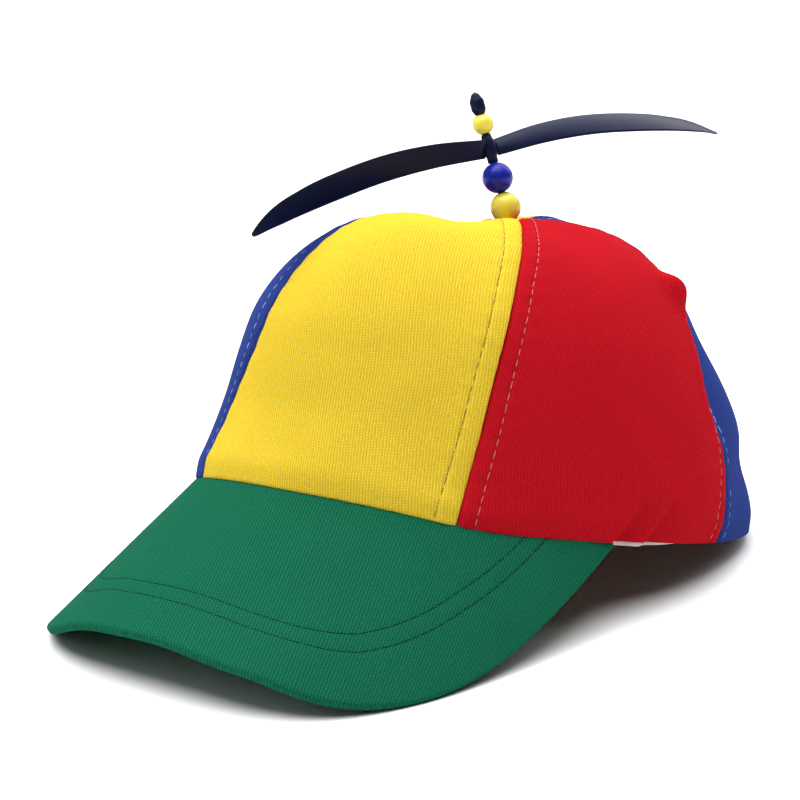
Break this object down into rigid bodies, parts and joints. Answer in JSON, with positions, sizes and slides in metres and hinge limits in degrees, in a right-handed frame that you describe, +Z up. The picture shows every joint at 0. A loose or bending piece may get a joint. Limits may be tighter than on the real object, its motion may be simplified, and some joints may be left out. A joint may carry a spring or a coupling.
{
  "type": "propeller cap",
  "caption": "Soft cotton cap with yellow, red and blue crown panels, a curved green peak, and a leaning beaded stem on top that carries a spinning navy propeller.",
  "frame": {"origin": "on the table, under the middle of the whole object's box", "axes": "+Z up from the table, -Y towards the peak, +X towards the wearer's left"},
  "size_m": [0.1706, 0.2628, 0.1468],
  "materials": {
    "yellow_cloth": "cotton twill, matt",
    "red_cloth": "cotton twill, matt",
    "blue_cloth": "cotton twill, matt",
    "green_cloth": "cotton twill, matt",
    "white_cloth": "woven cotton tape, matt",
    "yellow_bead": "gloss",
    "blue_bead": "gloss",
    "navy_plastic": "satin moulded"
  },
  "bodies": {
    "cap": {"front_panel": "yellow_cloth", "left_front_panel": "red_cloth", "left_back_panel": "blue_cloth", "back_panel": "yellow_cloth", "right_back_panel": "red_cloth", "right_front_panel": "blue_cloth", "peak": "green_cloth", "sweatband": "white_cloth", "stem": "navy_plastic", "lower_bead": "yellow_bead", "middle_bead": "blue_bead", "upper_bead": "yellow_bead", "finial": "navy_plastic"},
    "propeller": {"propeller": "navy_plastic"}
  },
  "joints": [
    {"name": "propeller_spin", "type": "hinge", "parent": "cap", "child": "propeller", "pos_m": [-0.00503, 0.0435, 0.12885], "axis": [-0.3431, 0.0642, 0.9371], "continuous": true}
  ]
}
